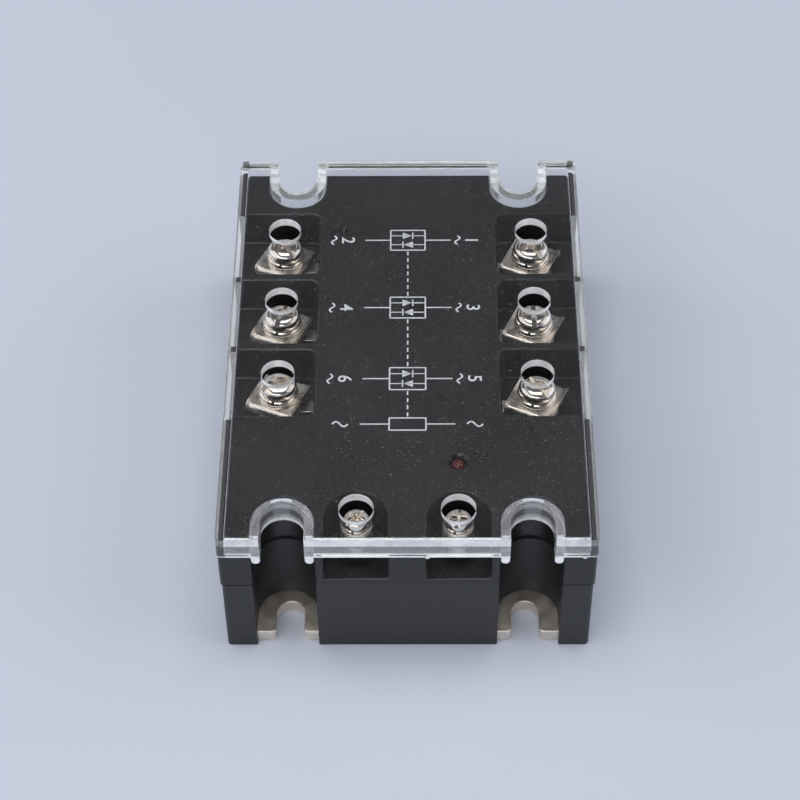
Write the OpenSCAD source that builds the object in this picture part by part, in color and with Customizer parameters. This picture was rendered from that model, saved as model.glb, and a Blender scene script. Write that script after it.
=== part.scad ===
// Three-phase solid state relay: metal base plate, two-piece housing, six power
// terminals, two input terminals, control electronics and a clear lift-off cover.
// Origin: centre of the footprint at the underside of the base plate. +Z is up, and
// the input terminals face -Y. Power terminals 1, 3, 5 are on +X and 2, 4, 6 on -X.

/* [Base plate] */
// Width of the base plate
plate_w = 71.4; // [70:0.1:71.6]
// Length of the base plate, which the slots open into
plate_l = 102.6; // [102.4:0.1:103.8]
// Thickness of the base plate
plate_t = 3; // [2.5:0.1:4]
// Width of the open mounting slots
slot_w = 5.6; // [4.6:0.1:6]
// Distance between the left and right slots
slot_pitch_x = 47.6; // [47:0.1:48.6]
// Distance between the front and rear slot ends' centres
slot_pitch_y = 93.2; // [92:0.1:95]

/* [Housing] */
// Width of the upper housing
body_w = 73.8; // [73:0.1:74]
// Length of the upper housing
body_l = 104.8; // [104:0.1:105.6]
// Step at the seam, by which the lower housing is narrower on its left and right
seam_step = 0.3; // [0:0.05:0.5]
// Height of the seam between the two housings
seam_z = 20.3; // [19:0.1:20.4]
// Height of the ledge that the cover stands on
ledge_z = 30; // [29.6:0.1:30.4]
// Height of the housing's top face
top_z = 32.5; // [32.4:0.1:33]
// Width of the raised top face inside the cover's skirt
top_w = 70.8; // [70:0.1:70.8]
// Length of the raised top face inside the cover's skirt
top_l = 101.2; // [100.6:0.1:102]
// General wall thickness of the housings
wall = 2; // [1.6:0.1:2.2]
// Width of the four driver channels over the mounting slots
channel_w = 12.45; // [12.4:0.05:12.6]
// Distance from the centre line to each channel's axis
channel_x = 24.275; // [24.2:0.025:24.3]
// Distance from the middle to each channel's round end
channel_end = 40.4; // [40.2:0.1:40.6]

/* [Power terminals] */
// Distance from the centre line to the screws
power_x = 26.5; // [26:0.1:27]
// Distance between neighbouring power terminals
power_pitch = 19.95; // [19.6:0.05:20.1]
// Position of the middle pair of power terminals along the body
power_mid_y = 9.35; // [9:0.05:9.6]
// Length of each terminal pocket along the body
pocket_l = 18; // [17:0.1:18.1]
// Distance from the centre line to the pockets' inner walls
pocket_x = 18.85; // [18.6:0.05:19]
// Height of the pocket floors
pocket_floor = 23.6; // [23.4:0.1:23.8]
// Radius of the M4 screw shanks
power_r = 2; // [2]
// Radius of the power screw heads
power_head_r = 3.7; // [3.5:0.1:4]
// Side of the square clamp plates
clamp_side = 10.2; // [9.5:0.1:10.4]
// Turn of the clamp plates, seen from above
clamp_turn = -24; // [-30:1:0]
// Height to which each screw stack, 1 to 6, is backed out above its normal place
power_lift = [0, 0.05, 0.1, 0.25, 0, 1]; // [0:0.05:1.2]

/* [Input terminals] */
// Distance from the centre line to the input screws
input_x = 9.95; // [9.8:0.05:10.1]
// Position of the input screws along the body
input_y = -45; // [-45.4:0.1:-44.8]
// Width of the input pockets
input_w = 12.7; // [12.4:0.1:12.8]
// Height of the input pocket floors
input_floor = 22.4; // [22:0.1:22.6]
// Radius of the M3 screw shanks
input_r = 1.5; // [1.5]
// Radius of the input screw heads
input_head_r = 2.75; // [2.6:0.05:2.8]

/* [Cover] */
// Width of the clear cover
cover_w = 74; // [74:0.1:74.4]
// Length of the clear cover
cover_l = 106; // [105.6:0.1:106.4]
// Height of the cover's top face
cover_top = 35.5; // [35.3:0.1:36]
// Thickness of the cover's top
cover_t = 2; // [1.8:0.1:2]
// Thickness of the cover's skirt
skirt_t = 1.55; // [1.5:0.01:1.6]
// Width of the cover's mounting notches
notch_w = 8.7; // [8:0.1:9]
// Thickness of the walls around the notches
notch_wall = 1.75; // [1.6:0.05:1.8]
// Radius of the driver holes
driver_r = 3.45; // [3.2:0.05:3.6]
// Distance between neighbouring driver holes
driver_pitch = 20.6; // [20.2:0.1:20.8]

/* [Indicator] */
// Position of the status lamp across the body
led_x = 10.06; // [9:0.1:11]
// Position of the status lamp along the body
led_y = -31.7; // [-32.5:0.1:-31]
// Radius of the lamp's hole
led_hole_r = 2; // [1.8:0.05:2.2]

/* [Hidden] */
$fn = 48;
eps = 0.01;
hair = 0.02;

sides = [-1, 1];
slot_r = slot_w / 2;
slot_x = slot_pitch_x / 2;
slot_y = slot_pitch_y / 2;
channel_r = channel_w / 2;
block_x = channel_x - channel_r;
corner_r = 0.8;
lower_w = body_w - 2 * seam_step;
lower_end = channel_end + 0.5;
plate_gap = 0.05;
cavity_x = 34.2;
cavity_y = channel_end - wall;
bay_x = block_x - wall;
bay_y = 49.6;
roof_z = top_z - 2.2;
roof_y = 37;

terminal_t = 1.4;
flange_r = 4.6;
terminal_top = pocket_floor + terminal_t;
nut_h = 2.9;
plate_z = 26.6;
clamp_t = 1.1;
wing_h = 1;
lip_h = 0.6;
flat_washer_r = 4.4;
flat_washer_t = 0.8;
spring_t = 1;
head_z = plate_z + clamp_t + flat_washer_t + spring_t;
power_head_h = 2.5;
power_shank = 10;

input_end_y = -45.55;
well_r = 2.7;
input_top = 27.4;
input_clamp_z = 28.4;
input_clamp_t = 0.8;
input_clamp_r = 3.25;
input_flat_t = 0.5;
input_spring_t = 0.7;
input_head_z = input_clamp_z + input_clamp_t + input_flat_t + input_spring_t;
input_head_h = 2;
input_shank = 8;

tile_t = 0.63;
pad_t = 0.3;
die_t = 0.4;
pad_top = plate_t + tile_t + pad_t;
pad_x = 20.1;
leg_t = 1.4;
leg_w = 3.2;
board_z = 15.2;
board_t = 1.6;
board_top = board_z + board_t;
board_y = [-49, 44];
board_x = 15.6;
pillars = [[-12, -27], [12, -27], [-12, 41], [12, 41]];
potting_top = 9;

// Side (+1 or -1) and row (1 at the rear to -1 at the front) of power terminal n.
function side_of(n) = n % 2 == 1 ? 1 : -1;
function row_of(n) = 2 - ceil(n / 2);
function power_y(n) = power_mid_y + row_of(n) * power_pitch;
function input_side(n) = n == 1 ? -1 : 1;

// Rectangle with round corners, centred on the origin.
module round_rect(w, l, r) {
  square([w - 2 * r, l], center = true);
  square([w, l - 2 * r], center = true);
  for (x = sides, y = sides)
    translate([x * (w / 2 - r), y * (l / 2 - r)])
      circle(r);
}

// Slot outline with a round end at "end" from the middle, open past the rim.
module open_slot(w, end) {
  translate([0, end + w / 2])
    circle(w / 2);
  translate([-w / 2, end + w / 2])
    square([w, 60 - end]);
}

// Copies of a shape over the four mounting slots.
module at_corners(x) {
  for (sx = sides, front = [0, 180])
    rotate(front)
      translate([sx * x, 0])
        children();
}

module ring(outer, inner, h) {
  difference() {
    cylinder(r = outer, h = h);
    translate([0, 0, -1])
      cylinder(r = inner, h = h + 2);
  }
}

module at_power(n) {
  translate([side_of(n) * power_x, power_y(n), 0])
    children();
}

module at_input(n) {
  translate([input_side(n) * input_x, input_y, 0])
    children();
}

module base_plate() {
  color([0.62, 0.58, 0.54])
    linear_extrude(plate_t)
      difference() {
        round_rect(plate_w, plate_l, 0.8);
        at_corners(slot_x)
          open_slot(slot_w, slot_y - slot_r);
      }
}

// Outline of the housing with its four driver channels.
module housing_outline(w, l, end) {
  difference() {
    round_rect(w, l, corner_r);
    at_corners(channel_x)
      open_slot(channel_w, end);
  }
}

module lower_housing() {
  color([0.15, 0.155, 0.165])
    difference() {
      linear_extrude(seam_z)
        housing_outline(lower_w, body_l, lower_end);
      // Recess for the base plate
      translate([0, 0, -1])
        linear_extrude(plate_t + 1)
          square([plate_w + 2 * plate_gap, plate_l + 2 * plate_gap], center = true);
      // Cavity, open to the upper housing
      translate([0, 0, plate_t - eps])
        linear_extrude(seam_z) {
          square([2 * cavity_x, 2 * cavity_y], center = true);
          square([2 * bay_x, 2 * bay_y], center = true);
        }
    }
}

// Pocket for power terminal n, open to the top and to the side.
module power_pocket(n) {
  s = side_of(n);
  r = 2;
  translate([0, power_y(n), pocket_floor])
    linear_extrude(20) {
      translate([s * (pocket_x + r + 20), 0])
        square([40, pocket_l], center = true);
      translate([s * (pocket_x + 10), 0])
        square([20, pocket_l - 2 * r], center = true);
      for (y = sides)
        translate([s * (pocket_x + r), y * (pocket_l / 2 - r)])
          circle(r);
    }
}

module input_pocket(n) {
  translate([input_side(n) * (input_x + 0.1), 0, input_floor])
    linear_extrude(20) {
      translate([0, input_end_y])
        circle(input_w / 2);
      translate([-input_w / 2, input_end_y - 20])
        square([input_w, 20]);
    }
}

module upper_housing() {
  color([0.17, 0.17, 0.175])
    difference() {
      union() {
        translate([0, 0, seam_z])
          linear_extrude(ledge_z - seam_z)
            housing_outline(body_w, body_l, channel_end);
        translate([0, 0, ledge_z - eps])
          linear_extrude(top_z - ledge_z + eps)
            housing_outline(top_w, top_l, channel_end);
      }
      for (n = [1:6]) {
        power_pocket(n);
        at_power(n) {
          // Screw tip hole and nut recess
          cylinder(r = 2.6, h = 40);
          translate([0, 0, pocket_floor - nut_h - 0.1])
            cylinder(r = 4.15, h = nut_h + 1, $fn = 6);
        }
        // Slot for the terminal's leg
        translate([side_of(n) * pad_x, power_y(n), 0])
          cube([leg_t + 0.4, leg_w + 0.4, 60], center = true);
      }
      for (n = [1, 2]) {
        input_pocket(n);
        at_input(n)
          cylinder(r = well_r, h = 40);
        translate([input_side(n) * input_x, -41.8, input_floor])
          cube([4.4, 1.6, 10], center = true);
      }
      // Room for the electronics under the roof
      translate([0, 0, seam_z - 1])
        linear_extrude(roof_z - seam_z + 1)
          translate([-16.4, -roof_y])
            square([32.8, roof_y + bay_y - 1.6]);
      translate([led_x, led_y, 0])
        cylinder(r = led_hole_r, h = 50);
    }
}

// Leg of a notch wall, with a round lower end.
module cover_leg() {
  depth = 3;
  translate([-notch_wall / 2, 0, 27 + notch_wall / 2])
    cube([notch_wall, depth, 4]);
  translate([0, 0, 27 + notch_wall / 2])
    rotate([-90, 0, 0])
      cylinder(d = notch_wall, h = depth);
}

module clear_cover() {
  notch_end = 43.45;
  wall_w = notch_w + 2 * notch_wall;
  inner_l = cover_l / 2 - skirt_t;
  color([0.9, 0.93, 0.96, 0.35])
    difference() {
      union() {
        // Top with its skirt
        difference() {
          translate([0, 0, ledge_z])
            linear_extrude(cover_top - ledge_z)
              round_rect(cover_w, cover_l, 0.8);
          translate([0, 0, ledge_z - 1])
            linear_extrude(cover_top - cover_t - ledge_z + 1)
              square([cover_w - 2 * skirt_t, 2 * inner_l], center = true);
        }
        // Walls around the notches
        translate([0, 0, ledge_z - 0.4])
          linear_extrude(cover_top - ledge_z)
            intersection() {
              at_corners(channel_x)
                open_slot(wall_w, notch_end - notch_wall);
              square([cover_w, cover_l], center = true);
            }
        at_corners(channel_x)
          for (s = sides)
            translate([s * (notch_w + notch_wall) / 2, 49.2, 0])
              cover_leg();
      }
      translate([0, 0, ledge_z - 5])
        linear_extrude(20)
          at_corners(channel_x)
            open_slot(notch_w, notch_end);
      // Driver holes
      for (s = sides, row = [-1:1])
        translate([s * power_x, 10.7 + row * driver_pitch, 0])
          cylinder(r = driver_r, h = 50);
      for (n = [1, 2])
        at_input(n)
          cylinder(r = driver_r, h = 50);
    }
}

module ceramic_tile(n) {
  color([0.93, 0.93, 0.9])
    translate([0, power_mid_y + (2 - n) * power_pitch, plate_t + tile_t / 2])
      cube([48, 13, tile_t], center = true);
}

// Two terminal pads and two die pads of one phase.
module copper_pads(n) {
  color([0.78, 0.48, 0.32])
    translate([0, power_mid_y + (2 - n) * power_pitch, plate_t + tile_t + pad_t / 2])
      for (s = sides) {
        translate([s * pad_x, 0, 0])
          cube([5, 10, pad_t], center = true);
        translate([s * 9, 0, 0])
          cube([11, 10, pad_t], center = true);
      }
}

module thyristor_pair(n) {
  color([0.35, 0.36, 0.4])
    translate([0, power_mid_y + (2 - n) * power_pitch, pad_top + die_t / 2])
      for (s = sides)
        translate([s * 9, 0, 0])
          cube([8, 8, die_t], center = true);
}

// Round flange on the pocket floor, with a leg down to the pad on the ceramic.
module power_terminal(n) {
  s = side_of(n);
  neck = power_x - pad_x + leg_t / 2;
  color([0.8, 0.77, 0.72])
    translate([0, power_y(n), 0])
      difference() {
        union() {
          translate([s * pad_x, 0, (pad_top + terminal_top) / 2])
            cube([leg_t, leg_w, terminal_top - pad_top], center = true);
          translate([s * (power_x - neck / 2), 0, terminal_top - terminal_t / 2])
            cube([neck, leg_w, terminal_t], center = true);
          translate([s * power_x, 0, terminal_top - terminal_t])
            cylinder(r = flange_r, h = terminal_t);
        }
        translate([s * power_x, 0, 0])
          cylinder(r = 2.3, h = 50);
      }
}

module power_nuts() {
  color([0.75, 0.73, 0.7])
    for (n = [1:6])
      at_power(n)
        translate([0, 0, pocket_floor - nut_h])
          difference() {
            cylinder(r = 4.04, h = nut_h, $fn = 6);
            translate([0, 0, -1])
              cylinder(r = power_r + 0.05, h = 10);
          }
}

// Domed screw head with a cross recess, from its seat at z = 0.
module pan_head(r, h, slot) {
  rim = 0.48 * h;
  dome = h - rim;
  dome_r = (r * r + dome * dome) / (2 * dome);
  difference() {
    intersection() {
      cylinder(r = r, h = h);
      translate([0, 0, h - dome_r])
        sphere(dome_r, $fn = 96);
    }
    for (a = [0, 90])
      rotate(a)
        translate([0, 0, h])
          cube([r * 1.15, slot, h * 1.1], center = true);
  }
}

module power_screw(n) {
  color([0.83, 0.8, 0.76])
    at_power(n)
      translate([0, 0, head_z + power_lift[n - 1]])
        rotate(15 * n) {
          pan_head(power_head_r, power_head_h, 0.9);
          translate([0, 0, -power_shank])
            cylinder(r = power_r, h = power_shank + 0.1);
        }
}

// Square plate with two lips turned up beside the washers and two wings turned down.
module clamp_plate(n) {
  half = clamp_side / 2;
  lip_x = flat_washer_r + 0.1;
  lip_top = clamp_t + lip_h;
  color([0.8, 0.77, 0.72])
    at_power(n)
      translate([0, 0, plate_z + power_lift[n - 1]])
        rotate(clamp_turn)
          difference() {
            union() {
              rotate([90, 0, 0])
                translate([0, 0, -half])
                  linear_extrude(clamp_side)
                    polygon([
                      [-half, 0.5], [-lip_x, 0], [lip_x, 0], [half, 0.5],
                      [half, lip_top], [lip_x + 0.1, lip_top], [lip_x, clamp_t],
                      [-lip_x, clamp_t], [-lip_x - 0.1, lip_top], [-half, lip_top]
                    ]);
              for (s = sides)
                translate([0, s * (half - 0.5), -wing_h / 2 + 0.1])
                  cube([clamp_side - 1, 1, wing_h + 0.2], center = true);
            }
            translate([0, 0, -5])
              cylinder(r = 2.3, h = 10);
          }
}

// Split spring washer on a flat washer, from the flat washer's seat at z = 0.
// A hair's gap keeps the two washers separate pieces.
module washer_stack(flat_r, flat_t, spring_r, spring_h, hole_r) {
  ring(flat_r, hole_r, flat_t - hair);
  translate([0, 0, flat_t])
    difference() {
      ring(spring_r, hole_r, spring_h);
      rotate([0, 0, -70])
        translate([spring_r, 0, spring_h / 2])
          cube([2 * spring_r, 0.5, 2 * spring_h], center = true);
    }
}

module washers(n) {
  color([0.78, 0.76, 0.72])
    at_power(n)
      translate([0, 0, plate_z + clamp_t + power_lift[n - 1]])
        washer_stack(flat_washer_r, flat_washer_t, 3.5, spring_t, power_r + 0.1);
}

// Round pad with a threaded hole, its leg standing on the control board.
module input_terminal(n) {
  rear = -41.2;
  post_t = 1.2;
  bar_t = 1.5;
  color([0.8, 0.77, 0.72])
    translate([input_side(n) * input_x, 0, 0])
      difference() {
        union() {
          translate([0, input_y, input_top - bar_t])
            cylinder(r = input_clamp_r - 0.1, h = bar_t);
          translate([-2, input_y, input_top - bar_t])
            cube([4, rear - input_y, bar_t]);
          translate([-2, rear - post_t, board_top])
            cube([4, post_t, input_top - board_top]);
        }
        translate([0, input_y, 0])
          cylinder(r = input_r + 0.05, h = 50);
      }
}

module input_screw(n) {
  color([0.83, 0.8, 0.76])
    at_input(n)
      translate([0, 0, input_head_z])
        rotate(20 + 30 * n) {
          pan_head(input_head_r, input_head_h, 0.7);
          translate([0, 0, -input_shank])
            cylinder(r = input_r, h = input_shank + 0.1);
        }
}

module input_clamp(n) {
  color([0.8, 0.77, 0.72])
    at_input(n)
      translate([0, 0, input_clamp_z])
        ring(input_clamp_r, input_r + 0.2, input_clamp_t);
}

module input_washers(n) {
  color([0.78, 0.76, 0.72])
    at_input(n)
      translate([0, 0, input_clamp_z + input_clamp_t])
        washer_stack(3.15, input_flat_t, 2.6, input_spring_t, input_r + 0.1);
}

module control_board() {
  color([0.1, 0.32, 0.16])
    difference() {
      translate([-board_x, board_y[0], board_z])
        cube([2 * board_x, board_y[1] - board_y[0], board_t]);
      for (p = pillars)
        translate([p[0], p[1], 0])
          cylinder(r = 1.1, h = 30);
    }
}

module board_pillars() {
  color([0.85, 0.85, 0.82])
    for (p = pillars)
      translate([p[0], p[1], plate_t]) {
        cylinder(r = 2, h = board_z - plate_t);
        cylinder(r = 1, h = board_top - plate_t + 0.8);
      }
}

module optocouplers() {
  color([0.9, 0.9, 0.88])
    for (row = [-1:1])
      translate([-9, power_mid_y + row * power_pitch, board_top + 1.75])
        cube([6.4, 8.9, 3.5], center = true);
}

module snubber_capacitors() {
  color([0.75, 0.5, 0.15])
    for (row = [-1:1])
      translate([5, power_mid_y + row * power_pitch, board_top + 4.5])
        cube([13, 5, 9], center = true);
}

module snubber_resistors() {
  color([0.35, 0.5, 0.65])
    for (row = [-1:1])
      translate([-0.5, power_mid_y + row * power_pitch + 6, board_top + 1.6])
        rotate([0, 90, 0])
          cylinder(r = 1.6, h = 11);
}

module bridge_rectifier() {
  color([0.12, 0.12, 0.13])
    translate([-6, -31, board_top + 1.7])
      cube([6.4, 8.2, 3.4], center = true);
}

module input_capacitor() {
  color([0.12, 0.2, 0.4])
    translate([3, -27, board_top])
      cylinder(r = 3.15, h = 11);
}

// Lamp body with a round top, standing on the board under its hole.
module status_led() {
  color([0.45, 0.03, 0.04])
    translate([led_x, led_y, 0]) {
      translate([0, 0, board_top + 11])
        cylinder(r = 1.9, h = 1);
      translate([0, 0, board_top + 11])
        cylinder(r = 1.45, h = top_z - board_top - 11 - 1.6);
      translate([0, 0, top_z - 1.6])
        sphere(1.45);
      for (s = sides)
        translate([s * 1.27, 0, board_top + 5.6])
          cube([0.5, 0.5, 11.2], center = true);
    }
}

// Poured filling around the power parts, up to its own level.
module potting() {
  gap = 0.1;
  color([0.25, 0.25, 0.28])
    difference() {
      translate([-cavity_x, -cavity_y, plate_t])
        cube([2 * cavity_x, 2 * cavity_y, potting_top - plate_t]);
      for (row = [-1:1])
        translate([0, power_mid_y + row * power_pitch, plate_t]) {
          cube([48 + 2 * gap, 13 + 2 * gap, 4], center = true);
          for (s = sides)
            translate([s * pad_x, 0, 5])
              cube([leg_t + 2 * gap, leg_w + 2 * gap, 20], center = true);
        }
      for (p = pillars)
        translate([p[0], p[1], 0])
          cylinder(r = 2 + gap, h = 30);
    }
}

base_plate();
lower_housing();
upper_housing();
clear_cover();
for (n = [1:3]) {
  ceramic_tile(n);
  copper_pads(n);
  thyristor_pair(n);
}
for (n = [1:6]) {
  power_terminal(n);
  power_screw(n);
  clamp_plate(n);
  washers(n);
}
for (n = [1, 2]) {
  input_terminal(n);
  input_screw(n);
  input_clamp(n);
  input_washers(n);
}
power_nuts();
control_board();
board_pillars();
optocouplers();
snubber_capacitors();
snubber_resistors();
bridge_rectifier();
input_capacitor();
status_led();
potting();
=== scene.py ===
"""Looks of a three-phase solid state relay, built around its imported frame.

Sizes are in millimetres and turn into metres where a mesh is made. The frame's origin is
the centre of the footprint, +Z is up and the input terminals face -Y.
"""
import math

import bmesh
import bpy
from mathutils import Matrix, Vector


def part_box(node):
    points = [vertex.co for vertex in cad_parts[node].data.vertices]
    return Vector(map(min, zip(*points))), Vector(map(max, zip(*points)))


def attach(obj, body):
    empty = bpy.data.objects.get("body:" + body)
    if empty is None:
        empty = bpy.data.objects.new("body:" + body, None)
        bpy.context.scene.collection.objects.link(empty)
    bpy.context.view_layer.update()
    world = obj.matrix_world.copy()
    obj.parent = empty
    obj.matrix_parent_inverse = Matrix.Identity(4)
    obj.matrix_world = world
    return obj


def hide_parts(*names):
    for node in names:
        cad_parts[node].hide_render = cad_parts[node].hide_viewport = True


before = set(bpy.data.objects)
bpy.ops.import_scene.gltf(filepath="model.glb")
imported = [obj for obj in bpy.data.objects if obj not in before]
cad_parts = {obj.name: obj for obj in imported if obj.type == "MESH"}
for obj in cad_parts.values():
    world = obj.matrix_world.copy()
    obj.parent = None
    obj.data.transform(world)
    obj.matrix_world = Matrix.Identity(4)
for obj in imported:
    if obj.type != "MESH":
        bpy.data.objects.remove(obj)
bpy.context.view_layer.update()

MM = 0.001
SIDES = (-1, 1)
HOUSING = "housing"


def box_mm(node):
    """Lowest and highest corner of a CAD node in millimetres."""
    lo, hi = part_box(node)
    return lo / MM, hi / MM


# ---------------------------------------------------------------- driving dimensions

PLATE_LO, PLATE_HI = box_mm("base_plate")
LOWER_LO, LOWER_HI = box_mm("lower_housing")
UPPER_LO, UPPER_HI = box_mm("upper_housing")
COVER_LO, COVER_HI = box_mm("clear_cover")

SEAM_Z = UPPER_LO.z
TOP_Z = UPPER_HI.z
COVER_TOP = COVER_HI.z
LEDGE_Z = 30.0
TOP_SIZE = (70.8, 101.2)
CHANNEL_X = 24.275
CHANNEL_W = 12.45
CHANNEL_END = 40.4
SLOT_X, SLOT_Y, SLOT_R = 23.8, 46.6, 2.8
CORNER_R = 0.8
HOLLOW_X, HOLLOW_Y = 34.2, CHANNEL_END - 2
BAY_X, BAY_Y = 16.05, 49.6

COVER_T = 2.0
SKIRT_T = 1.55
NOTCH_W = 8.7
NOTCH_WALL = 1.75
NOTCH_END = 43.45
DRIVER_R = 3.38
DRIVER_PITCH = 20.6
DRIVER_MID_Y = 10.7
GATE_X = (3.9, 34.4)
COVER_LEG_INNER, COVER_LEG_OUTER = 49.2, 52.2

POCKET_X = 18.85
POCKET_L = 18.0
POCKET_FLOOR = 23.6
POCKET_R = 2.0
INPUT_FLOOR = 22.4
INPUT_POCKET_X = 10.05
INPUT_POCKET_W = 12.7
INPUT_END_Y = -45.55
INPUT_WELL_R = 2.7
LAMP_X, LAMP_Y, LAMP_HOLE_R = 10.06, -31.7, 2.0

POWER_X = 26.5
INPUT_X, INPUT_Y = 9.95, -45.0
LEG_X, BAR_T = 20.1, 1.4

# Heights where the tools of cuts begin and end, outside the piece they cut. The solver rounds
# by a tool's size, so each piece keeps its own.
BELOW, ABOVE = -1.0, 60.0
OVER_PLATE, OVER_LOWER = 10.0, 40.0
UNDER_UPPER, UNDER_INPUT, UNDER_COVER, UNDER_HOLES = 10.0, 15.0, 20.0, 30.0
UNDER_BAR = -5.0

M4 = {"r": 2.0, "pitch": 0.7, "head_r": 3.7, "head_h": 2.5, "length": 10.0}
M3 = {"r": 1.5, "pitch": 0.5, "head_r": 2.75, "head_h": 2.0, "length": 8.0}
POWER_TURNS = (124, 122, 90, 75, 122, 32)
INPUT_TURNS = (50, 80)
PLATE_TURN = -24
SPRING_GAP = -105

# Print on the top: place of the labels and size of the symbols
LABEL_X, LABEL_SHIFT = 13.3, 0.9
SYMBOL_W, SYMBOL_H = 7.4, 6.0
LINE_W = 0.3


# ---------------------------------------------------------------- mesh helpers

def link(name, mesh):
    """A new object on a mesh, in the scene."""
    obj = bpy.data.objects.new(name, mesh)
    bpy.context.scene.collection.objects.link(obj)
    return obj


def from_bmesh(bm, name="shape"):
    """An object in metres from a bmesh in millimetres."""
    bmesh.ops.recalc_face_normals(bm, faces=bm.faces)
    bmesh.ops.scale(bm, vec=(MM, MM, MM), verts=bm.verts)
    mesh = bpy.data.meshes.new(name)
    bm.to_mesh(mesh)
    bm.free()
    return link(name, mesh)


def arc(cx, cy, radius, start, end, steps):
    """Points on an arc, with angles in degrees."""
    angles = [math.radians(start + (end - start) * i / steps) for i in range(steps + 1)]
    return [(cx + radius * math.cos(a), cy + radius * math.sin(a)) for a in angles]


def circle(cx, cy, radius, steps=64):
    """Points round a circle."""
    return arc(cx, cy, radius, 0, 360, steps)[:-1]


def rounded(x0, y0, x1, y1, radius, steps=8):
    """Points round a rectangle with round corners."""
    corners = ((x1, y1, 0), (x0, y1, 90), (x0, y0, 180), (x1, y0, 270))
    points = []
    for x, y, turn in corners:
        cx = x - math.copysign(radius, x - (x0 + x1) / 2)
        cy = y - math.copysign(radius, y - (y0 + y1) / 2)
        points += arc(cx, cy, radius, turn, turn + 90, steps)
    return points


def prism(points, z0, z1):
    """A straight solid on an outline."""
    bm = bmesh.new()
    face = bm.faces.new([bm.verts.new((x, y, z0)) for x, y in points])
    made = bmesh.ops.extrude_face_region(bm, geom=[face])["geom"]
    top = [v for v in made if isinstance(v, bmesh.types.BMVert)]
    bmesh.ops.translate(bm, vec=(0, 0, z1 - z0), verts=top)
    return from_bmesh(bm)


def block(x0, y0, z0, x1, y1, z1):
    """A box between two corners, used as a tool for cuts."""
    return prism([(x0, y0), (x1, y0), (x1, y1), (x0, y1)], z0, z1)


def lathe(profile, steps=64):
    """A solid of revolution about Z. The profile is a closed list of (radius, z)."""
    bm = bmesh.new()
    rings = []
    for i in range(steps):
        a = 2 * math.pi * i / steps
        rings.append([bm.verts.new((r * math.cos(a), r * math.sin(a), z)) for r, z in profile])
    count = len(profile)
    for i in range(steps):
        ring, after = rings[i], rings[(i + 1) % steps]
        for k in range(count):
            bm.faces.new((ring[k], after[k], after[(k + 1) % count], ring[(k + 1) % count]))
    bmesh.ops.remove_doubles(bm, verts=bm.verts, dist=1e-5)
    return from_bmesh(bm)


def freeze(obj):
    """Applies an object's modifiers."""
    graph = bpy.context.evaluated_depsgraph_get()
    mesh = bpy.data.meshes.new_from_object(obj.evaluated_get(graph), depsgraph=graph)
    obj.modifiers.clear()
    obj.data = mesh


def combine(target, tools, operation):
    """Joins or cuts a target with tools, which are used up."""
    for tool in tools:
        modifier = target.modifiers.new("combine", "BOOLEAN")
        modifier.operation = operation
        modifier.solver = "EXACT"
        modifier.object = tool
    freeze(target)
    for tool in tools:
        bpy.data.objects.remove(tool)
    return target


def add(target, *tools):
    """The target joined with tools."""
    return combine(target, tools, "UNION")


def cut(target, *tools):
    """The target less tools."""
    return combine(target, tools, "DIFFERENCE")


def soften(obj, width, segments=2, angle=35, sharp_z=None, clamp=False):
    """Rounds the edges that are sharper than the angle, but for those at height sharp_z."""
    bm = bmesh.new()
    bm.from_mesh(obj.data)
    bmesh.ops.remove_doubles(bm, verts=bm.verts, dist=2e-6)
    bmesh.ops.dissolve_limit(bm, angle_limit=math.radians(0.4), verts=bm.verts, edges=bm.edges)
    weight = bm.edges.layers.float.new("bevel_weight_edge")
    for edge in bm.edges:
        level = sharp_z is not None and all(abs(v.co.z - sharp_z * MM) < 1e-5 for v in edge.verts)
        bent = len(edge.link_faces) == 2 and edge.calc_face_angle() > math.radians(angle)
        edge[weight] = 1.0 if bent and not level else 0.0
    bm.to_mesh(obj.data)
    bm.free()
    modifier = obj.modifiers.new("soften", "BEVEL")
    modifier.width = width * MM
    modifier.segments = segments
    modifier.limit_method = "WEIGHT"
    modifier.use_clamp_overlap = clamp
    modifier.miter_outer = "MITER_ARC"
    freeze(obj)
    return smooth(obj)


def smooth(obj, angle=40):
    """Smooth shading that keeps flat faces flat."""
    obj.data.shade_smooth()
    obj.data.set_sharp_from_angle(angle=math.radians(angle))
    modifier = obj.modifiers.new("smooth", "WEIGHTED_NORMAL")
    modifier.keep_sharp = True
    modifier.weight = 80
    freeze(obj)
    return obj


def place(obj, x, y, z, turn=0):
    """Turns a mesh about Z and moves it, in its vertices."""
    move = Matrix.Translation(Vector((x, y, z)) * MM)
    obj.data.transform(move @ Matrix.Rotation(math.radians(turn), 4, "Z"))
    return obj


def merged(objects):
    """One object from several, whose meshes stay apart inside it."""
    bm = bmesh.new()
    for obj in objects:
        bm.from_mesh(obj.data)
        bpy.data.objects.remove(obj)
    mesh = bpy.data.meshes.new("merged")
    bm.to_mesh(mesh)
    bm.free()
    return link("merged", mesh)


def finished(obj, name, body, slot, material, *nodes):
    """Names a piece, gives it its material and body, and lets it stand for CAD nodes."""
    obj.name = name
    obj.data.name = name
    obj.data.materials.clear()
    obj.data.materials.append(material)
    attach(obj, body)
    if nodes:
        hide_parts(*nodes)
    return obj


# ---------------------------------------------------------------- material helpers

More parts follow.
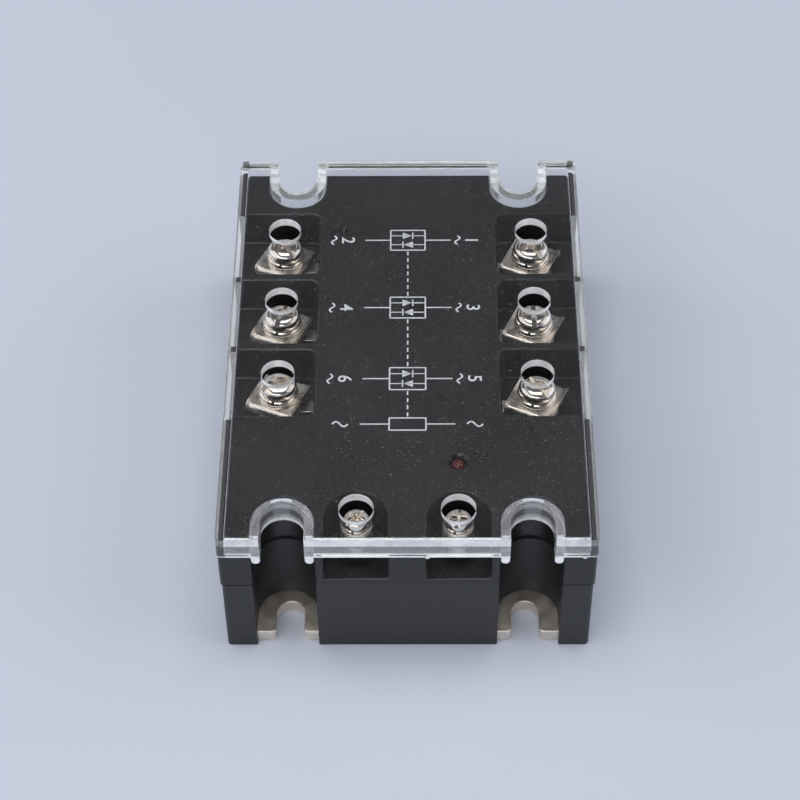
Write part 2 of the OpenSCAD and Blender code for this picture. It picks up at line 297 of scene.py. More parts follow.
class Paint:
    """A node material under construction, with object coordinates at hand."""

    def __init__(self, name):
        self.material = bpy.data.materials.new(name)
        self.material.use_nodes = True
        self.tree = self.material.node_tree
        self.tree.nodes.clear()
        self.output = self.tree.nodes.new("ShaderNodeOutputMaterial")
        self.shader = self.tree.nodes.new("ShaderNodeBsdfPrincipled")
        self.join(self.shader.outputs[0], self.output.inputs["Surface"])
        self.place = self.tree.nodes.new("ShaderNodeTexCoord").outputs["Object"]

    def join(self, a, b):
        self.tree.links.new(a, b)

    def stretched(self, scale, turn=(0, 0, 0)):
        """Object coordinates scaled along each axis, after a turn."""
        node = self.tree.nodes.new("ShaderNodeMapping")
        node.inputs["Scale"].default_value = scale
        node.inputs["Rotation"].default_value = [math.radians(t) for t in turn]
        self.join(self.place, node.inputs["Vector"])
        return node.outputs[0]

    def noise(self, size, detail=3.0, roughness=0.55, vector=None):
        """Noise with features of about that size in millimetres, as a value around 0.5."""
        node = self.tree.nodes.new("ShaderNodeTexNoise")
        node.inputs["Scale"].default_value = 1 / (size * MM)
        node.inputs["Detail"].default_value = detail
        node.inputs["Roughness"].default_value = roughness
        self.join(vector or self.place, node.inputs["Vector"])
        return node.outputs[0]

    def range(self, value, low, high, to_low, to_high):
        """Maps low..high to to_low..to_high, with a clamp."""
        node = self.tree.nodes.new("ShaderNodeMapRange")
        for socket, number in zip(node.inputs[1:5], (low, high, to_low, to_high)):
            socket.default_value = number
        self.join(value, node.inputs[0])
        return node.outputs[0]

    def maths(self, operation, a, b):
        """A Math node on sockets or numbers."""
        node = self.tree.nodes.new("ShaderNodeMath")
        node.operation = operation
        for socket, value in zip(node.inputs, (a, b)):
            if isinstance(value, (int, float)):
                socket.default_value = value
            else:
                self.join(value, socket)
        return node.outputs[0]

    def mixed(self, factor, a, b):
        """A colour between a and b, which are sockets or RGB values."""
        node = self.tree.nodes.new("ShaderNodeMix")
        node.data_type = "RGBA"
        self.join(factor, node.inputs[0])
        for socket, value in ((node.inputs[6], a), (node.inputs[7], b)):
            if isinstance(value, tuple):
                socket.default_value = (*value, 1)
            else:
                self.join(value, socket)
        return node.outputs[2]

    def bump(self, height, depth, strength=1.0):
        """A bump of that depth in millimetres."""
        node = self.tree.nodes.new("ShaderNodeBump")
        node.inputs["Strength"].default_value = strength
        node.inputs["Distance"].default_value = depth * MM
        self.join(height, node.inputs["Height"])
        return node.outputs[0]

    def set(self, **values):
        """Sets the shader's sockets, by name with _ for a space."""
        for name, value in values.items():
            socket = self.shader.inputs[name.replace("_", " ")]
            if isinstance(value, bpy.types.NodeSocket):
                self.join(value, socket)
            elif isinstance(value, tuple):
                socket.default_value = (*value, 1)
            else:
                socket.default_value = value
        return self.material

    def split(self, vector):
        """The X, Y and Z of a vector."""
        node = self.tree.nodes.new("ShaderNodeSeparateXYZ")
        self.join(vector, node.inputs[0])
        return node.outputs

    def distance(self, value, middle=0.0):
        """How far a value is from the middle, either way."""
        return self.maths("ABSOLUTE", self.maths("SUBTRACT", value, middle), 0)

    def scratches(self, turn, length=9.0, width=0.05, least=0.72):
        """Thin scratches in one direction, as a mask."""
        lines = self.noise(1.0, 2.0, 0.5, self.stretched((1 / width / 9, 1 / length, 1 / length), turn))
        patches = self.noise(14.0, 2.0)
        mask = self.range(lines, least, least + 0.05, 0, 1)
        return self.maths("MULTIPLY", mask, self.range(patches, 0.5, 0.62, 0, 1))

    def dust(self, size, least):
        """Scattered specks, as a mask."""
        return self.range(self.noise(size, 1.0, 0.4), least, least + 0.03, 0, 1)


def plastic(name, tone, roughness, dust=0.5):
    """Black moulded plastic: fine grain, faint flow marks, scratches, dust and a painted shade line at the
    housings' joint.
    """
    paint = Paint(name)
    flow = paint.noise(18.0, 3.0)
    grain = paint.noise(0.22, 2.0)
    low = tuple(c * 0.88 for c in tone)
    high = tuple(c * 1.12 for c in tone)
    colour = paint.mixed(paint.range(flow, 0.35, 0.65, 0, 1), low, high)
    marks = paint.maths("MAXIMUM", paint.scratches((0, 0, 28)), paint.scratches((0, 0, -51), 12.0))
    specks = paint.maths("MULTIPLY", paint.dust(0.3, 0.705), dust)
    wear = paint.maths("MAXIMUM", paint.maths("MULTIPLY", marks, 0.12), specks)
    colour = paint.mixed(wear, colour, (0.16, 0.16, 0.165))

    # Painted shade: a dark line along the housings' parting line on the end blocks and the sides, standing
    # in for the shade in the joint
    across, _, height = paint.split(paint.place)
    line = paint.range(paint.distance(height, SEAM_Z * MM), 0.09 * MM, 0.16 * MM, 1, 0)
    blocks = paint.range(paint.distance(across), 29 * MM, 30 * MM, 0, 1)
    seam_shade = paint.maths("MULTIPLY", line, blocks)
    colour = paint.mixed(seam_shade, colour, (0.001, 0.001, 0.001))
    rough = paint.range(flow, 0.3, 0.7, roughness - 0.04, roughness + 0.05)
    rough = paint.maths("ADD", rough, paint.maths("MULTIPLY", wear, 0.2))
    # Gloss is lowered along the painted shade line
    return paint.set(
        Base_Color=colour,
        Roughness=rough,
        Specular_IOR_Level=paint.range(seam_shade, 0, 1, 0.5, 0.05),
        Normal=paint.bump(grain, 0.006, 0.6),
    )


def metal(name, tone, roughness, brushed=None, grain=0.003):
    """Nickel plating: slight clouds and fine grain or brushing."""
    paint = Paint(name)
    clouds = paint.noise(2.6, 3.0)
    low = tuple(c * 0.86 for c in tone)
    colour = paint.mixed(paint.range(clouds, 0.35, 0.65, 0, 1), low, tone)
    where = paint.stretched(brushed) if brushed else None
    fine = paint.noise(0.12 if not brushed else 1.0, 3.0, 0.6, where)
    rough = paint.range(clouds, 0.3, 0.7, roughness * 0.75, roughness * 1.35)
    return paint.set(
        Base_Color=colour,
        Metallic=1.0,
        Roughness=rough,
        Normal=paint.bump(fine, grain, 0.8),
    )


def clear_plastic():
    """Clear moulded cover: glass-like, with painted highlights on its upright edges and lower rim, rub marks
    and dust.
    """
    paint = Paint("clear_cover_plastic")
    tree = paint.tree
    waves = paint.noise(9.0, 2.0)
    rubs = paint.maths("MAXIMUM", paint.scratches((0, 0, 17), 10.0), paint.scratches((0, 0, -63), 14.0))

    # Painted highlight: the upright edges and the lower rim are made partly pale and diffuse, standing in
    # for the bright lines of light led along the clear sheet
    shape = tree.nodes.new("ShaderNodeNewGeometry")
    across, along, height = paint.split(paint.place)
    tilt = paint.distance(paint.split(shape.outputs["Normal"])[2])
    upright = paint.range(tilt, 0.5, 0.93, 1, 0)
    underside = COVER_TOP - COVER_T
    sheet = paint.range(height, (underside - 0.1) * MM, (underside + 0.15) * MM, 0.12, 0.88)
    rim = paint.range(height, (LEDGE_Z + 0.7) * MM, (LEDGE_Z + 0.3) * MM, 0, 0.9)
    edges = paint.maths("MAXIMUM", paint.maths("MULTIPLY", sheet, upright), rim)
    edges = paint.maths("MULTIPLY", edges, paint.range(paint.noise(2.6, 3.0), 0.3, 0.7, 0.72, 1.0))

    # The painted edge highlight is weaker on the long sides and the notch walls
    across, along = paint.distance(across), paint.distance(along)
    inner_x = COVER_HI.x - SKIRT_T
    side = paint.range(across, (inner_x - 0.3) * MM, (inner_x - 0.1) * MM, 1, 0.28)
    reach = NOTCH_W / 2 + NOTCH_WALL
    notch = paint.range(paint.distance(across, CHANNEL_X * MM), (reach + 0.2) * MM, (reach + 0.5) * MM, 1, 0)
    notch = paint.maths("MULTIPLY", notch, paint.range(along, 41.0 * MM, 41.4 * MM, 0, 1))
    notch = paint.maths("MULTIPLY", notch, paint.range(along, 49.4 * MM, 50.6 * MM, 1, 0))
    edges = paint.maths("MULTIPLY", edges, side)
    edges = paint.maths("MULTIPLY", edges, paint.range(notch, 0, 1, 1, 0.34))
    # A faint painted highlight along the long side walls
    side_wall_highlight = paint.range(across, inner_x * MM, (inner_x + 0.2) * MM, 0, 0.07)
    edges = paint.maths("MAXIMUM", edges, side_wall_highlight)

    # Real dust and rub marks, then the pale diffuse share, which is painted edge highlight or dust; the rest
    # stays clear
    marks = paint.maths("MULTIPLY", paint.dust(0.3, 0.735), 0.35)
    marks = paint.maths("MAXIMUM", marks, paint.maths("MULTIPLY", rubs, 0.05))
    edge_highlight_and_dust = paint.maths("ADD", paint.maths("MAXIMUM", edges, marks), 0.006)
    paint.set(
        Base_Color=(0.97, 0.975, 0.985),
        Transmission_Weight=paint.maths("SUBTRACT", 1.0, edge_highlight_and_dust),
        IOR=1.49,
        Roughness=paint.range(rubs, 0, 1, 0.015, 0.06),
        Normal=paint.bump(waves, 0.02, 0.15),
    )
    # Lamps shine through to what is inside
    passing = tree.nodes.new("ShaderNodeBsdfTransparent")
    passing.inputs["Color"].default_value = (0.93, 0.94, 0.95, 1)
    path = tree.nodes.new("ShaderNodeLightPath")
    surface = tree.nodes.new("ShaderNodeMixShader")
    paint.join(path.outputs["Is Shadow Ray"], surface.inputs[0])
    paint.join(paint.shader.outputs[0], surface.inputs[1])
    paint.join(passing.outputs[0], surface.inputs[2])
    paint.join(surface.outputs[0], paint.output.inputs["Surface"])
    return paint.material


def lens():
    """Dark red lamp resin, with a little haze."""
    paint = Paint("red_lamp_resin")
    haze = paint.noise(0.8, 2.0)
    colour = paint.mixed(haze, (0.07, 0.004, 0.006), (0.11, 0.006, 0.009))
    return paint.set(Base_Color=colour, Transmission_Weight=0.2, Roughness=0.1, IOR=1.52)


def ink():
    """White pad-printed ink, slightly uneven."""
    paint = Paint("white_ink")
    cover = paint.noise(0.5, 4.0, 0.7)
    colour = paint.mixed(paint.range(cover, 0.3, 0.6, 0, 1), (0.52, 0.53, 0.54), (0.78, 0.79, 0.8))
    return paint.set(Base_Color=colour, Roughness=0.6, Normal=paint.bump(cover, 0.004))


def mottled(name, tone, roughness, size=1.5, metallic=0.0, spread=0.2):
    """A plain material for the inner parts, with a mottled tone and fine bumps."""
    paint = Paint(name)
    clouds = paint.noise(size, 3.0)
    low = tuple(c * (1 - spread) for c in tone)
    high = tuple(min(1.0, c * (1 + spread)) for c in tone)
    colour = paint.mixed(paint.range(clouds, 0.3, 0.7, 0, 1), low, high)
    rough = paint.range(clouds, 0.3, 0.7, roughness * 0.85, min(1.0, roughness * 1.2))
    return paint.set(
        Base_Color=colour,
        Metallic=metallic,
        Roughness=rough,
        Normal=paint.bump(paint.noise(0.15, 2.0), 0.004, 0.6),
    )


def circuit_board():
    """Green solder mask with traces and pads showing through."""
    paint = Paint("green_board")
    tree = paint.tree
    cells = tree.nodes.new("ShaderNodeTexBrick")
    cells.inputs["Scale"].default_value = 1 / (5 * MM)
    cells.inputs["Mortar Size"].default_value = 0.03
    paint.join(paint.place, cells.inputs["Vector"])
    green = paint.mixed(paint.noise(6.0), (0.004, 0.02, 0.009), (0.007, 0.03, 0.013))
    colour = paint.mixed(cells.outputs["Fac"], green, (0.015, 0.06, 0.025))
    return paint.set(Base_Color=colour, Roughness=0.32, Normal=paint.bump(cells.outputs["Fac"], 0.03))


BLACK_UPPER = plastic("black_upper_plastic", (0.0078, 0.0078, 0.0083), 0.3)
BLACK_LOWER = plastic("black_lower_plastic", (0.0172, 0.0175, 0.0192), 0.42, 0.4)
NICKEL_PLATE = metal("nickel_base", (0.86, 0.78, 0.69), 0.42, (12000, 900, 12000), 0.004)
NICKEL_BAR = metal("nickel_bar", (0.62, 0.57, 0.51), 0.3)
NICKEL_CLAMP = metal("nickel_clamp", (0.84, 0.77, 0.69), 0.27, grain=0.0015)
NICKEL_SCREW = metal("nickel_screw", (0.90, 0.835, 0.76), 0.15, grain=0.0015)
NICKEL_WASHER = metal("nickel_washer", (0.86, 0.79, 0.71), 0.18, grain=0.0015)
CLEAR = clear_plastic()
LENS = lens()
INK = ink()


# ---------------------------------------------------------------- housing and base plate

def mirrored(points, sx, sy):
    """Points mirrored in X or Y."""
    return [(x * sx, y * sy) for x, y in points]


def open_slot(x, half_width, end, reach=60.0, steps=24):
    """Outline of a slot with a round end at y = end, open towards +Y."""
    centre = end + half_width
    return arc(x, centre, half_width, 180, 360, steps) + [(x + half_width, reach), (x - half_width, reach)]


def corner_slots(x, half_width, end, z0, z1):
    """Cutting tools for a slot at each of the four corners."""
    outline = open_slot(x, half_width, end)
    return [prism(mirrored(outline, sx, sy), z0, z1) for sx in SIDES for sy in SIDES]


def slot_mouth(x, half_width, end, radius):
    """Outline that rounds the corners of a slot's mouth at y = end."""
    right = arc(x + half_width + radius, end - radius, radius, 180, 90, 8)
    left = arc(x - half_width - radius, end - radius, radius, 90, 0, 8)
    return right + [(x + half_width + radius, end + 1), (x - half_width - radius, end + 1)] + left


def base_plate():
    """Plated steel plate with four open slots."""
    plate = prism(rounded(PLATE_LO.x, PLATE_LO.y, PLATE_HI.x, PLATE_HI.y, CORNER_R), 0, PLATE_HI.z)
    cut(plate, *corner_slots(SLOT_X, SLOT_R, SLOT_Y - SLOT_R, BELOW, OVER_PLATE))
    mouth = slot_mouth(SLOT_X, SLOT_R, PLATE_HI.y, 1.0)
    for sx in SIDES:
        for sy in SIDES:
            cut(plate, prism(mirrored(mouth, sx, sy), BELOW, OVER_PLATE))
    soften(plate, 0.3, 3)
    finished(plate, "mounting_plate", HOUSING, "base_metal", NICKEL_PLATE, "base_plate")


def lower_shell():
    """Lower housing, open above, round the rim of the base plate."""
    end = CHANNEL_END + 0.5
    shell = prism(rounded(LOWER_LO.x, LOWER_LO.y, LOWER_HI.x, LOWER_HI.y, CORNER_R), 0, SEAM_Z)
    cut(shell, *corner_slots(CHANNEL_X, CHANNEL_W / 2, end, BELOW, OVER_LOWER))
    gap = 0.06
    lo_x, lo_y, hi_x, hi_y = PLATE_LO.x - gap, PLATE_LO.y - gap, PLATE_HI.x + gap, PLATE_HI.y + gap
    bottom = PLATE_HI.z - 0.5
    cut(
        shell,
        block(lo_x, lo_y, BELOW, hi_x, hi_y, PLATE_HI.z),
        block(-HOLLOW_X, -HOLLOW_Y, bottom, HOLLOW_X, HOLLOW_Y, OVER_LOWER),
        block(-BAY_X, -BAY_Y, bottom, BAY_X, BAY_Y, OVER_LOWER),
    )
    soften(shell, 0.18, sharp_z=SEAM_Z)
    finished(shell, "lower_shell", HOUSING, "black_housing_lower", BLACK_LOWER, "lower_housing")


def middle(node):
    """Centre of a CAD node in X and Y."""
    lo, hi = box_mm(node)
    return (lo.x + hi.x) / 2, (lo.y + hi.y) / 2


def power_pocket(n):
    """Cutting tools for the open pocket, nut recess, screw well and leg slot of a terminal."""
    x, y = middle(f"power_screw_{n}")
    s = math.copysign(1, x)
    half = POCKET_L / 2
    inner = arc(POCKET_X + POCKET_R, half - POCKET_R, POCKET_R, 90, 180, 8)
    inner += arc(POCKET_X + POCKET_R, POCKET_R - half, POCKET_R, 180, 270, 8)
    past_side = 60
    outline = inner + [(past_side, -half), (past_side, half)]
    pocket = prism([(s * px, py + y) for px, py in outline], POCKET_FLOOR, ABOVE)
    over = POCKET_FLOOR + 1
    nut = prism(circle(x, y, 4.15, 6), POCKET_FLOOR - 3, over)
    well = prism(circle(x, y, 2.6, 32), UNDER_UPPER, over)
    leg = block(s * LEG_X - 0.9, y - 1.8, UNDER_UPPER, s * LEG_X + 0.9, y + 1.8, over)
    return [pocket, nut, well, leg]


def input_pocket(s):
    """Cutting tools for an input terminal's pocket and screw well."""
    x = s * INPUT_POCKET_X
    outline = mirrored(open_slot(x, INPUT_POCKET_W / 2, -INPUT_END_Y - INPUT_POCKET_W / 2), 1, -1)
    over = INPUT_FLOOR + 1
    well = prism(circle(s * INPUT_X, INPUT_Y, INPUT_WELL_R, 40), UNDER_INPUT, over)
    leg_x = s * INPUT_X
    leg = block(leg_x - 2.2, INPUT_Y + 2.4, UNDER_INPUT, leg_x + 2.2, INPUT_Y + 4, over)
    return [prism(outline, INPUT_FLOOR, ABOVE), well, leg]


def upper_shell():
    """Upper housing with its pockets, screw wells and raised top."""
    shell = prism(rounded(UPPER_LO.x, UPPER_LO.y, UPPER_HI.x, UPPER_HI.y, CORNER_R), SEAM_Z, LEDGE_Z)
    half_w, half_l = TOP_SIZE[0] / 2, TOP_SIZE[1] / 2
    add(shell, prism(rounded(-half_w, -half_l, half_w, half_l, CORNER_R), LEDGE_Z - 1, TOP_Z))
    cut(shell, *corner_slots(CHANNEL_X, CHANNEL_W / 2, CHANNEL_END, BELOW, ABOVE))
    tools = []
    for n in range(1, 7):
        tools += power_pocket(n)
    for s in SIDES:
        tools += input_pocket(s)
    tools.append(prism(circle(LAMP_X, LAMP_Y, LAMP_HOLE_R, 40), UNDER_UPPER, ABOVE))
    roof_t = 2.2
    tools.append(block(-16.4, -37, SEAM_Z - 1, 16.4, 48, TOP_Z - roof_t))
    cut(shell, *tools)
    soften(shell, 0.24, 1, sharp_z=SEAM_Z)
    finished(shell, "upper_shell", HOUSING, "black_housing_upper", BLACK_UPPER, "upper_housing")


# ---------------------------------------------------------------- clear cover

def cover_legs():
    """Round-ended legs at the outer ends of the notch walls."""
    legs = []
    half = NOTCH_WALL / 2
    for sx in SIDES:
        for sy in SIDES:
            for side in SIDES:
                x = sx * (CHANNEL_X + side * (NOTCH_W + NOTCH_WALL) / 2)
                outline = arc(x, COVER_LO.z + half, half, 180, 360, 12)
                outline += [(x + half, LEDGE_Z + 1), (x - half, LEDGE_Z + 1)]
                leg = prism(outline, COVER_LEG_INNER, COVER_LEG_OUTER)
                leg.data.transform(Matrix.Rotation(math.radians(90), 4, "X"))
                if sy > 0:
                    to_rear = (COVER_LEG_INNER + COVER_LEG_OUTER) * MM
                    leg.data.transform(Matrix.Translation((0, to_rear, 0)))
                legs.append(leg)
    return legs


def cover_shell():
    """Clear cover: top, skirt, notch walls with legs, gate marks and driver holes."""
    lo, hi = COVER_LO, COVER_HI
    cover = prism(rounded(lo.x, lo.y, hi.x, hi.y, CORNER_R), LEDGE_Z, COVER_TOP)
    inner_x, inner_y = hi.x - SKIRT_T, hi.y - SKIRT_T
    cut(cover, block(-inner_x, -inner_y, LEDGE_Z - 1, inner_x, inner_y, COVER_TOP - COVER_T))

    wall_half = NOTCH_W / 2 + NOTCH_WALL
    wall_z = LEDGE_Z - 0.4
    walls = merged(corner_slots(CHANNEL_X, wall_half, NOTCH_END - NOTCH_WALL, wall_z, COVER_TOP - 1))
    combine(walls, [block(lo.x, lo.y, UNDER_COVER, hi.x, hi.y, ABOVE)], "INTERSECT")
    gate_y, gate_r = lo.y + SKIRT_T / 2, 0.6
    gates = [prism(circle(x, gate_y, gate_r, 20), LEDGE_Z - 0.7, LEDGE_Z + 0.8) for x in GATE_X]
    add(cover, walls, *cover_legs(), *gates)
    cut(cover, *corner_slots(CHANNEL_X, NOTCH_W / 2, NOTCH_END, UNDER_COVER, ABOVE))

    rows = [DRIVER_MID_Y + row * DRIVER_PITCH for row in (-1, 0, 1)]
    places = [(s * POWER_X, y) for s in SIDES for y in rows]
    places += [(s * INPUT_X, INPUT_Y) for s in SIDES]
    cut(cover, *[prism(circle(x, y, DRIVER_R), UNDER_HOLES, ABOVE) for x, y in places])
    soften(cover, 0.13, 3)
    finished(cover, "cover_shell", "cover", "clear_cover", CLEAR, "clear_cover")


# ---------------------------------------------------------------- fasteners

def threaded_shank(size):
    """Screw shank with a true helical thread, from z = 0 downwards."""
    steps, rows_per_turn = 40, 10
    depth = 0.6 * size["pitch"]
    rows = int(size["length"] / size["pitch"] * rows_per_turn)
    bm = bmesh.new()
    rings = []
    for i in range(rows + 1):
        z = -size["length"] * i / rows
        tip = max(0.0, 0.5 + z + size["length"])
        taper = min(1.0, 0.72 + tip * 0.5)
        ring = []
        for k in range(steps):
            phase = (z / size["pitch"] + k / steps) % 1.0
            r = (size["r"] - depth * abs(2 * phase - 1)) * taper
            a = 2 * math.pi * k / steps
            ring.append(bm.verts.new((r * math.cos(a), r * math.sin(a), z)))
        rings.append(ring)
    for ring, after in zip(rings, rings[1:]):
        for k in range(steps):
            bm.faces.new((ring[k], after[k], after[(k + 1) % steps], ring[(k + 1) % steps]))
    bm.faces.new(rings[0])
    bm.faces.new(list(reversed(rings[-1])))
    return smooth(from_bmesh(bm), 50)


def recess_wing(length, width, depth, z_top, turn):
    """Tapered wing of a cross recess."""
    bm = bmesh.new()
    levels = (
        (z_top + 0.5, length, width),
        (z_top, length, width),
        (z_top - depth, 0.38 * length, 0.7 * width),
    )
    rings = []
    for z, l, w in levels:
        corners = ((-l / 2, -w / 2), (l / 2, -w / 2), (l / 2, w / 2), (-l / 2, w / 2))
        rings.append([bm.verts.new((x, y, z)) for x, y in corners])
    for ring, after in zip(rings, rings[1:]):
        for k in range(4):
            bm.faces.new((ring[k], ring[(k + 1) % 4], after[(k + 1) % 4], after[k]))
    bm.faces.new(rings[0])
    bm.faces.new(rings[-1])
    return place(from_bmesh(bm), 0, 0, 0, turn)


def screw(size):
    """Pan-head screw with a combined slot and cross recess, its seat at z = 0."""
    r, h = size["head_r"], size["head_h"]
    edge, side, flat, crown = 0.07 * r, 0.48 * h, 0.56 * r, 0.03 * h
    profile = [(0, 0), (r - edge, 0)]
    profile += arc(r - edge, edge, edge, -90, 0, 4)[1:]
    for px, pz in arc(0, 0, 1.0, 0, 90, 12):
        profile.append((flat + (r - flat) * px, side + (h - crown - side) * pz))
    profile.append((0, h))
    head = lathe(profile, 72)
    slot_w = 0.28 * r
    slot = block(-1.3 * r, -slot_w / 2, h - 0.44 * h, 1.3 * r, slot_w / 2, h + 1)
    wings = [recess_wing(1.3 * r, 0.32 * r, 0.7 * h, h, turn) for turn in (0, 90)]
    cut(head, slot, *wings)
    soften(head, 0.08, 2, 38, clamp=True)
    return merged([head, threaded_shank(size)])


def flat_washer(outer, inner, height):
    """Stamped washer with one rounded rim."""
    e = 0.16
    profile = [(inner, 0), (outer - e / 2, 0), (outer, e / 2), (outer, height - e)]
    profile += [(outer - e + x, height - e + z) for x, z in arc(0, 0, e, 0, 90, 4)][1:]
    profile += [(inner + e / 2, height), (inner, height - e / 2)]
    return smooth(lathe(profile, 72), 30)


def spring_washer(outer, inner, height, gap_at):
    """Split ring that climbs a little from one end to the other."""
    steps, gap, rise = 80, 9, 0.14 * height
    thick = height - rise
    e = 0.2 * height
    section = [
        (inner, e), (inner + e, 0), (outer - e, 0), (outer, e),
        (outer, thick - e), (outer - e, thick), (inner + e, thick), (inner, thick - e),
    ]
    bm = bmesh.new()
    rings = []
    for i in range(steps + 1):
        a = math.radians(gap_at + gap / 2 + (360 - gap) * i / steps)
        lift = rise * i / steps
        rings.append([bm.verts.new((r * math.cos(a), r * math.sin(a), z + lift)) for r, z in section])
    count = len(section)
    for ring, after in zip(rings, rings[1:]):
        for k in range(count):
            bm.faces.new((ring[k], after[k], after[(k + 1) % count], ring[(k + 1) % count]))
    bm.faces.new(rings[0])
    bm.faces.new(rings[-1])
    return smooth(from_bmesh(bm), 30)


def pressed_plate(side, thick, curl, wing, hole_r):
    """Square clamp plate: two edges rolled down, and the other two curled up a little."""
    half, bend, sheet = side / 2, 0.8, 0.9
    section = [(-half, -wing)] + arc(bend - half, thick - bend, bend, 180, 90, 6)
    section += arc(half - bend, thick - bend, bend, 90, 0, 6) + [(half, -wing), (half - bend, -wing)]
    section += [(half - bend, thick - sheet), (bend - half, thick - sheet), (bend - half, -wing)]
    strips, flat = 28, 0.8 * half
    bm = bmesh.new()
    rings = []
    for i in range(strips + 1):
        x = half * (2 * i / strips - 1)
        rise = curl * (max(0.0, abs(x) - flat) / (half - flat)) ** 2
        ring = []
        for y, z in section:
            share = 0.7 + 0.3 * math.copysign(1, x) * y / half
            ring.append(bm.verts.new((x, y, z + rise * share)))
        rings.append(ring)
    count = len(section)
    for ring, after in zip(rings, rings[1:]):
        for k in range(count):
            bm.faces.new((ring[k], after[k], after[(k + 1) % count], ring[(k + 1) % count]))
    bm.faces.new(rings[0])
    bm.faces.new(rings[-1])
    plate = from_bmesh(bm)
    cut(plate, prism(circle(0, 0, hole_r, 40), -5, 5))
    return soften(plate, 0.12, 2, 50)


def power_hardware(n):
    """Screw, washers, clamp plate and bar of power terminal n."""
    x, y = middle(f"power_screw_{n}")
    s = math.copysign(1, x)
    body = f"clamp_{n}"
    washer_z = box_mm(f"washers_{n}")[0].z
    plate_t, flat_t, spring_t = 1.1, 0.8, 1.0

    bolt = place(screw(M4), x, y, washer_z + flat_t + spring_t, POWER_TURNS[n - 1])
    finished(bolt, f"terminal_screw_{n}", f"screw_{n}", "screw_plate", NICKEL_SCREW, f"power_screw_{n}")

    flat = flat_washer(4.12, 2.1, flat_t - 0.02)
    spring = place(spring_washer(3.94, 2.12, spring_t, SPRING_GAP), 0, 0, flat_t)
    pair = place(merged([flat, spring]), x, y, washer_z)
    finished(pair, f"washer_pair_{n}", body, "screw_plate", NICKEL_WASHER, f"washers_{n}")

    plate = pressed_plate(10.2, plate_t, 0.55, 0.95, 2.3)
    place(plate, x, y, washer_z - plate_t, PLATE_TURN)
    finished(plate, f"pressure_plate_{n}", body, "terminal_plate", NICKEL_CLAMP, f"clamp_plate_{n}")

    lo, hi = box_mm(f"power_terminal_{n}")
    half = 1.6
    leg_near, leg_far = s * LEG_X - BAR_T / 2, s * LEG_X + BAR_T / 2
    inner = s * (LEG_X - BAR_T / 2)
    bar = prism(circle(x, y, 4.6, 56), hi.z - BAR_T, hi.z)
    neck = block(min(inner, x), y - half, hi.z - BAR_T, max(inner, x), y + half, hi.z)
    leg = block(leg_near, y - half, lo.z, leg_far, y + half, hi.z - 0.1)
    add(bar, neck, leg)
    cut(bar, prism(circle(x, y, 2.3, 40), UNDER_BAR, ABOVE))
    soften(bar, 0.2, 2)
    finished(bar, f"terminal_bar_{n}", HOUSING, "terminal_plate", NICKEL_BAR, f"power_terminal_{n}")


def input_hardware(n):
    """Screw, washers, clamp and bar of input terminal n."""
    x, y = middle(f"input_screw_{n}")
    body = f"input_clamp_{n}"
    washer_z = box_mm(f"input_washers_{n}")[0].z
    clamp_t, flat_t, spring_t = 0.8, 0.5, 0.7

    bolt = place(screw(M3), x, y, washer_z + flat_t + spring_t, INPUT_TURNS[n - 1])
    finished(bolt, f"signal_screw_{n}", f"input_screw_{n}", "screw_plate", NICKEL_SCREW, f"input_screw_{n}")

    flat = flat_washer(3.15, 1.6, flat_t - 0.02)
    spring = place(spring_washer(2.85, 1.62, spring_t, SPRING_GAP), 0, 0, flat_t)
    pair = place(merged([flat, spring]), x, y, washer_z)
    finished(pair, f"signal_washers_{n}", body, "screw_plate", NICKEL_WASHER, f"input_washers_{n}")

    clamp = place(flat_washer(3.25, 1.7, clamp_t), x, y, washer_z - clamp_t)
    finished(clamp, f"signal_clamp_{n}", body, "terminal_plate", NICKEL_CLAMP, f"input_clamp_{n}")

    lo, hi = box_mm(f"input_terminal_{n}")
    bar_t, leg_t, half = 1.5, 1.2, 2
    bar = prism(circle(x, y, 3.15, 48), hi.z - bar_t, hi.z)
    neck = block(x - half, y, hi.z - bar_t, x + half, hi.y, hi.z)
    add(bar, neck, block(x - half, hi.y - leg_t, lo.z, x + half, hi.y, hi.z - 0.1))
    cut(bar, prism(circle(x, y, 1.55, 32), UNDER_BAR, ABOVE))
    soften(bar, 0.18, 2)
    finished(bar, f"signal_bar_{n}", HOUSING, "terminal_plate", NICKEL_BAR, f"input_terminal_{n}")


# ---------------------------------------------------------------- lamp and markings

def lamp():
    """Domed status lamp with its collar and leads."""
    lo, hi = box_mm("status_led")
    r, collar_r, collar_t = 1.45, 1.9, 1
    collar_z = hi.z - 3.7
    profile = [(0, collar_z), (collar_r, collar_z)]
    profile += [(collar_r, collar_z + collar_t), (r, collar_z + collar_t)]
    profile += arc(0, hi.z - r, r, 0, 90, 12)
    dome = place(smooth(lathe(profile, 48), 35), LAMP_X, LAMP_Y, 0)
    lead_x, half = 1.27, 0.25
    leads = []
    for s in SIDES:
        x = LAMP_X + s * lead_x
        leads.append(block(x - half, LAMP_Y - half, lo.z, x + half, LAMP_Y + half, collar_z))
    finished(merged([dome, *leads]), "lamp", HOUSING, "red_lens", LENS, "status_led")


def stroke(points, width=LINE_W):
    """A printed line, as a flat strip."""
    bm = bmesh.new()
    left, right = [], []
    for i, point in enumerate(points):
        before = Vector(points[max(i - 1, 0)])
        after = Vector(points[min(i + 1, len(points) - 1)])
        along = (after - before).normalized()
        across = Vector((-along.y, along.x)) * width / 2
        left.append(bm.verts.new((*(Vector(point) + across), 0)))
        right.append(bm.verts.new((*(Vector(point) - across), 0)))
    for i in range(len(points) - 1):
        bm.faces.new((left[i], right[i], right[i + 1], left[i + 1]))
    return from_bmesh(bm)


def filled(points):
    """A printed solid shape."""
    bm = bmesh.new()
    bm.faces.new([bm.verts.new((x, y, 0)) for x, y in points])
    return from_bmesh(bm)


